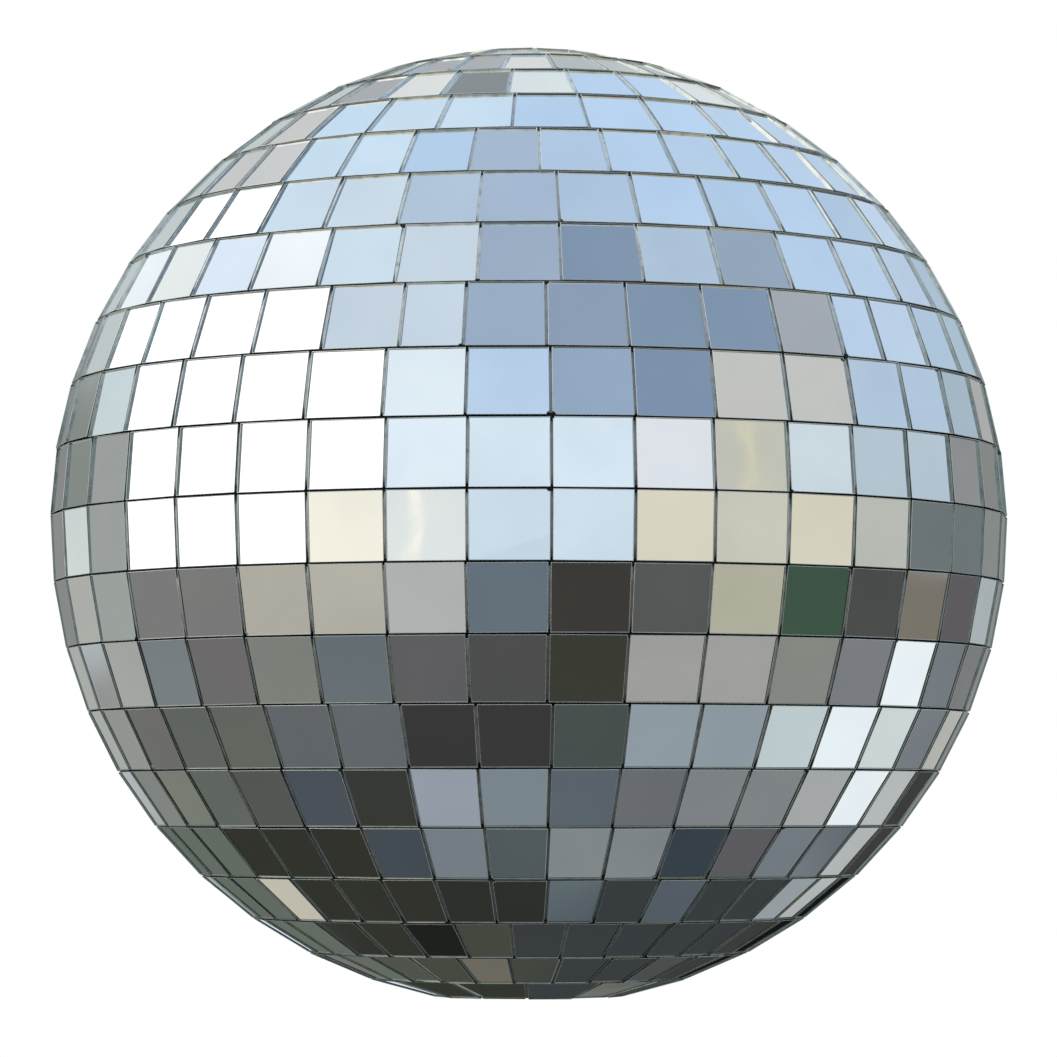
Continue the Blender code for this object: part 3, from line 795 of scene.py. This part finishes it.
def tile_rows():
    """Tiles, adhesive bed and adhesive beads of all twenty rows."""
    dice = random.Random(SEED)
    glass = ("mirror_silver", "mirror_rim", "mirror_inner_side", "mirror_cut_edge")
    for node in sorted(name for name in NODES if name.startswith("mirror_row_")):
        tiles = read_tiles(NODES[node])
        shape = bmesh.new()
        for tile in tiles:
            add_tile(shape, tile, SILVER_DEPTH[node.split("_")[2]], dice)
        name = node.replace("mirror_row", "glass_tiles")
        finish_piece(name, shape, "ball", [node], "mirror_glass", None, glass)
        adhesive_bed(node.replace("mirror_row", "tile_adhesive"), node, dice)
        shape = bmesh.new()
        for first, second in zip(tiles, tiles[1:] + tiles[:1]):
            add_bead(shape, first, second, dice)
        name = node.replace("mirror_row", "joint_adhesive")
        finish_piece(name, shape, "ball", [node], "mirror_glass", 50, ["joint_adhesive"])


# ---- hardware


def fillet(*points):
    """Outline from (radius, height, rounding) corners, each corner turned into a short curve."""
    outline = []
    count = len(points)
    for index, (radius, height, rounding) in enumerate(points):
        corner = Vector((radius, height))
        if not rounding:
            outline.append(tuple(corner))
            continue
        before, after = (Vector(points[(index + step) % count][:2]) - corner for step in (-1, 1))
        start = corner + before.normalized() * min(rounding, before.length * 0.49)
        end = corner + after.normalized() * min(rounding, after.length * 0.49)
        for step in range(FILLET_STEPS + 1):
            share = step / FILLET_STEPS
            outline.append(tuple(start.lerp(corner, share).lerp(corner.lerp(end, share), share)))
    return outline


def lathe(outline, segments, side=1, closed=True):
    """Turn an outline of (radius, height) points about Z; an open one starts and ends on the axis."""
    shape = bmesh.new()
    rings = []
    for radius, height in outline:
        if radius < 1e-7:
            rings.append([shape.verts.new((0, 0, side * height))])
            continue
        spots = [(radius * math.cos(t), radius * math.sin(t), side * height) for t in circle(segments)]
        rings.append([shape.verts.new(spot) for spot in spots])
    pairs = list(zip(rings, rings[1:] + rings[:1])) if closed else list(zip(rings, rings[1:]))
    for first, second in pairs:
        if len(first) == len(second):
            band_faces(shape, first, second)
            continue
        tip, ring = (first, second) if len(first) == 1 else (second, first)
        for index in range(segments):
            shape.faces.new((tip[0], ring[index], ring[(index + 1) % segments]))
    return shape


def shift(shape, matrix):
    """Move a whole bmesh."""
    bmesh.ops.transform(shape, matrix=matrix, verts=shape.verts)
    return shape


def loose_object(shape):
    """A temporary object holding a bmesh."""
    bmesh.ops.recalc_face_normals(shape, faces=shape.faces)
    return add_object("work", mesh_of("work", shape))


def combine(base, *steps):
    """Apply (operation, bmesh) Booleans to a bmesh in turn and return the result."""
    target = loose_object(base)
    tools = []
    for operation, shape in steps:
        tool = loose_object(shape)
        boolean = target.modifiers.new("shape", "BOOLEAN")
        boolean.operation = operation
        boolean.solver = "EXACT"
        boolean.object = tool
        tools.append(tool)
    result = bmesh.new()
    result.from_object(target, bpy.context.evaluated_depsgraph_get())
    for thing in (target, *tools):
        mesh = thing.data
        bpy.data.objects.remove(thing, do_unlink=True)
        bpy.data.meshes.remove(mesh)
    bmesh.ops.remove_doubles(result, verts=result.verts, dist=1e-6)
    return result


def box(size, place):
    """A box by its size and middle."""
    shape = bmesh.new()
    bmesh.ops.create_cube(shape, size=1.0)
    return shift(shape, Matrix.Translation(place) @ Matrix.Diagonal((*size, 1.0)))


def pole(node):
    """Side of a node's pole (1 or -1), and its outer and inner height on that side."""
    low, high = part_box(node)
    side = 1 if high[2] + low[2] > 0 else -1
    heights = sorted((side * low[2], side * high[2]))
    return side, heights[1], heights[0]


def half_width(node):
    """Half of a node's width along X."""
    low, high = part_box(node)
    return (high[0] - low[0]) / 2


def spot_of(node):
    """Middle of a node in plan."""
    low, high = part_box(node)
    return Vector(((low[0] + high[0]) / 2, (low[1] + high[1]) / 2, 0))


def pan(place):
    """Pressed pan with a rolled flange, a drawn corner and three countersinks."""
    node = f"{place}_pan"
    side, face, under = pole(node)
    edge = half_width(node)
    floor = under + PAN_SHEET
    outline = fillet(
        (PAN_HOLE, floor, 0.0002),
        (PAN_BORE, floor, 0.0014),
        (PAN_BORE, face, 0.0012),
        (edge, face, 0.0004),
        (edge, face - PAN_SHEET, 0.0002),
        (PAN_BORE + PAN_SHEET, face - PAN_SHEET, 0.0004),
        (PAN_BORE + PAN_SHEET, under, 0.0019),
        (PAN_HOLE, under, 0.0002),
    )
    cuts = []
    for number in (1, 2, 3):
        screw = f"{place}_pan_screw_{number}"
        head = half_width(screw) + 0.0003
        cone = [(0, face - 0.0015), (0.0012, face - 0.0015), (0.0012, face - PAN_SHEET)]
        cone += [(head, face), (head + 0.0003, face + 0.0003), (0, face + 0.0003)]
        sink = shift(lathe(cone, 40, side, closed=False), Matrix.Translation(spot_of(screw)))
        cuts.append(("DIFFERENCE", sink))
    shape = combine(lathe(outline, 120, side), *cuts)
    finish_piece(f"{place}_pressed_pan", shape, "ball", [node], "chrome_steel")


def pan_screw(node, turn):
    """Countersunk screw with a cross recess, a slightly domed head and a ridged shank."""
    side, top, tip = pole(node)
    head = half_width(node)
    outline = [(0, top), (head * 0.55, top - 0.00002), (head * 0.92, top - 0.00008), (head, top - 0.00018)]
    outline += [(SCREW_CORE, top - 0.0011)]
    ridges = int((top - tip - 0.0024) / SCREW_PITCH)
    for number in range(ridges):
        level = top - 0.0013 - number * SCREW_PITCH
        outline += [(SCREW_CORE, level), (SCREW_CREST, level - SCREW_PITCH / 2)]
    outline += [(SCREW_CORE, tip + 0.0009), (0, tip)]
    slots = []
    for number in (0, 1):
        bar = box((2 * head * 0.62, 0.00036, 0.0016), (0, 0, side * top))
        slots.append(("DIFFERENCE", shift(bar, Matrix.Rotation(turn + number * math.pi / 2, 4, "Z"))))
    shape = combine(lathe(outline, 40, side, closed=False), *slots)
    shift(shape, Matrix.Translation(spot_of(node)))
    finish_piece(f"{node}_cross_head", shape, "ball", [node], "zinc_steel")


def bush(place):
    """Flanged nylon bush with eased edges and a lead-in to its bore."""
    node = f"{place}_bush"
    side, face, end = pole(node)
    flange = half_width(node)
    seat = face - BUSH_FLANGE
    outline = fillet(
        (BUSH_BORE, face, 0.0005),
        (flange, face, 0.0004),
        (flange, seat, 0.0002),
        (BUSH_BODY, seat, 0.0002),
        (BUSH_BODY, end, 0.0007),
        (BUSH_BORE, end, 0.0003),
    )
    finish_piece(f"{node}_turned", lathe(outline, 72, side), "ball", [node], "nylon")


def washer(node):
    """Stamped washer, rounded on its outer face and sharp underneath."""
    side, face, under = pole(node)
    edge = half_width(node)
    outline = fillet(
        (WASHER_BORE, face, 0.00025),
        (edge, face, 0.00035),
        (edge, under, 0.0001),
        (WASHER_BORE, under, 0.0001),
    )
    finish_piece(f"{node}_stamped", lathe(outline, 72, side), "hanger", [node], "zinc_steel")


def lock_nut():
    """Hexagon nut with chamfered corners and a crown that holds a nylon insert."""
    side, end, seat = pole("lock_nut")
    corner = half_width("lock_nut")
    crown = end - NUT_CROWN
    hexagon = lathe([(0, seat), (corner, seat), (corner, crown), (0, crown)], 6, side, closed=False)
    bevel = corner * (1 - math.cos(math.pi / 6)) * 1.15
    rise = bevel * math.tan(math.radians(30))
    limit = [(0, seat), (corner - bevel, seat), (corner, seat + rise), (corner, crown - rise)]
    limit += [(corner - bevel, crown), (0, crown)]
    top = fillet(
        (0, crown - OVERLAP, 0),
        (NUT_CROWN_RADIUS, crown - OVERLAP, 0),
        (NUT_CROWN_RADIUS, end, 0.0009),
        (0, end, 0),
    )
    shelf = end - INSERT_DEPTH
    bore = [(0, seat - OVERLAP), (NUT_BORE, seat - OVERLAP), (NUT_BORE, shelf), (INSERT_RADIUS, shelf)]
    bore += [(INSERT_RADIUS, end + OVERLAP), (0, end + OVERLAP)]
    shape = combine(
        hexagon,
        ("INTERSECT", lathe(limit, 96, side, closed=False)),
        ("UNION", lathe(top, 96, side, closed=False)),
        ("DIFFERENCE", lathe(bore, 96, side, closed=False)),
    )
    finish_piece("lock_nut_body", shape, "hanger", ["lock_nut"], "zinc_steel")
    ring = fillet(
        (NUT_BORE, end - 0.0011, 0.0001),
        (INSERT_RADIUS - 0.00005, end - 0.0011, 0.0001),
        (INSERT_RADIUS - 0.00005, end - 0.0003, 0.0002),
        (NUT_BORE, end - 0.0003, 0.0003),
    )
    finish_piece("lock_nut_insert", lathe(ring, 72, side), "hanger", ["lock_nut"], "nylon")


def thread_radius(level, turn, end, start):
    """Radius of the spindle at a height and turn, where its lower stretch carries a screw thread."""
    wave = abs(2 * ((level / THREAD_PITCH - turn / math.tau) % 1.0) - 1)
    cut = max(0.0, min(1.0, (start - level) / (2 * THREAD_PITCH)))
    radius = SPINDLE_RADIUS - THREAD_DEPTH * wave * cut
    return min(radius, SPINDLE_RADIUS - THREAD_CHAMFER + (level - end))


def spindle():
    """Spindle with a rolled thread at its foot, an eased collar and a rounded eye on a short neck."""
    low, high = (corner[2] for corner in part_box("spindle"))
    eye_radius = half_width("spindle")
    eye = high - eye_radius
    collar_top = eye - EYE_RISE
    collar_base = collar_top - COLLAR_HEIGHT
    start = low + THREAD_LENGTH
    shape = bmesh.new()
    steps = round(THREAD_LENGTH / THREAD_STEP)
    levels = [low + THREAD_LENGTH * step / steps for step in range(steps + 1)]
    turns = circle(SPINDLE_SIDES)
    rings = []
    for level in levels:
        radii = [thread_radius(level, turn, low, start) for turn in turns]
        spots = [(r * math.cos(turn), r * math.sin(turn), level) for r, turn in zip(radii, turns)]
        rings.append([shape.verts.new(spot) for spot in spots])
    profile = [(SPINDLE_RADIUS, collar_base - 0.0003), (SPINDLE_RADIUS + 0.0002, collar_base)]
    profile += [(COLLAR_RADIUS - 0.0003, collar_base), (COLLAR_RADIUS, collar_base + 0.0003)]
    profile += [(COLLAR_RADIUS, collar_top - 0.0004), (COLLAR_RADIUS - 0.0004, collar_top)]
    profile += [(NECK_RADIUS + 0.0007, collar_top), (NECK_RADIUS + 0.0002, collar_top + 0.0003)]
    profile += [(NECK_RADIUS, eye - EYE_HOLE - 0.0008)]
    for radius, level in profile:
        rings.append([shape.verts.new((radius * math.cos(t), radius * math.sin(t), level)) for t in turns])
    skin(shape, rings, closed=False)
    half = EYE_THICKNESS / 2
    outline = fillet(
        (EYE_HOLE, half, 0.0007),
        (eye_radius, half, 0.0011),
        (eye_radius, -half, 0.0011),
        (EYE_HOLE, -half, 0.0007),
    )
    across = Matrix.Translation((0, 0, eye)) @ Matrix.Rotation(math.pi / 2, 4, "Y")
    shape = combine(shape, ("UNION", shift(lathe(outline, 96), across)))
    finish_piece("spindle_forged_eye", shape, "hanger", ["spindle"], "zinc_steel")


def hanging_ring():
    """Drawn wire bent round and butt-welded, with the weld opposite the eye."""
    spots = [vertex.co for vertex in NODES["hanging_ring"].data.vertices]
    centre = sum(spots, Vector()) / len(spots)
    low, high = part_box("hanging_ring")
    wire = RING_WIRE
    radius = (high[0] - low[0]) / 2 - wire
    pivot = Vector(next(joint["pos_m"] for joint in frame["joints"] if joint["name"] == "ring_swing"))
    outward = (centre - pivot).normalized()
    across = Vector((1, 0, 0))
    above = across.cross(outward)
    shape = bmesh.new()
    sections = []
    for turn in circle(RING_STEPS):
        away = abs(turn - math.pi) * radius
        groove = 0.03 * math.exp(-(((away - 0.0019) / 0.0006) ** 2))
        swell = 1 + 0.07 * math.exp(-((away / 0.0009) ** 2)) - groove
        radial = across * math.sin(turn) - outward * math.cos(turn)
        section = []
        for angle in circle(RING_SIDES):
            swirl = 1 + 0.012 * math.sin(5 * angle + 1) * math.exp(-((away / 0.0014) ** 2))
            reach = wire * swell * swirl
            spot = centre + radial * (radius + reach * math.cos(angle)) + above * reach * math.sin(angle)
            section.append(shape.verts.new(spot))
        sections.append(section)
    skin(shape, sections)
    finish_piece("hanging_ring_welded", shape, "ring", ["hanging_ring"], "chrome_steel", 60)


def hardware():
    """Everything at the two poles."""
    dice = random.Random(SEED + 1)
    for place in ("top", "bottom"):
        pan(place)
        for number in (1, 2, 3):
            pan_screw(f"{place}_pan_screw_{number}", dice.uniform(0, math.pi / 2))
        bush(place)
    washer("top_washer")
    washer("thrust_washer")
    lock_nut()
    spindle()
    hanging_ring()


# ---- stage


def add_floor():
    """A wide pale floor under the ball, which mirrors don't show."""
    shape = bmesh.new()
    bmesh.ops.create_circle(shape, cap_ends=True, segments=96, radius=FLOOR_RADIUS)
    mesh = mesh_of("studio_floor", shape)
    mesh.materials.append(floor_paint())
    floor = add_object("studio_floor", mesh)
    floor.location.z = FLOOR_HEIGHT
    floor.visible_glossy = False
    floor.visible_diffuse = False


def add_light(name, place, size, power):
    """A soft square light aimed at the ball and left out of the mirrors."""
    light = bpy.data.lights.new(name, "AREA")
    light.size = size
    light.energy = power
    lamp = add_object(name, light)
    lamp.location = place
    lamp.rotation_euler = (-Vector(place)).to_track_quat("-Z", "Y").to_euler()
    lamp.visible_glossy = False
    lamp.visible_camera = False


def add_camera():
    """The camera, a little below the ball's middle."""
    back = Vector((0, -math.cos(CAMERA_ELEVATION), math.sin(CAMERA_ELEVATION)))
    data = bpy.data.cameras.new("camera")
    data.sensor_width = SENSOR
    data.lens = LENS
    camera = add_object("camera", data)
    camera.location = back * CAMERA_DISTANCE
    aim = Vector((0, 0, -CAMERA_DROP)) - camera.location
    camera.rotation_euler = aim.to_track_quat("-Z", "Y").to_euler()
    bpy.context.scene.camera = camera


makers = (mirror_silver, mirror_rim, mirror_inner_side, mirror_cut_edge, tile_adhesive, joint_adhesive)
makers += (core_plastic, chrome_steel, zinc_steel, nylon)
MATERIALS = {maker.__name__: maker() for maker in makers}

for part in RECORD["subparts"]:
    if part["material_slot"] in MATERIALS:
        mesh = NODES[part["node"]].data
        mesh.materials.clear()
        mesh.materials.append(MATERIALS[part["material_slot"]])

tile_rows()
hardware()
surroundings()
add_floor()
add_light("key", (-1.1, -1.3, 1.7), 1.4, 16)
add_light("fill", (1.6, -1.0, 0.7), 1.2, 7)
add_light("back", (0.6, 1.6, 1.4), 1.2, 9)
add_camera()
bpy.context.scene.view_settings.view_transform = "Standard"
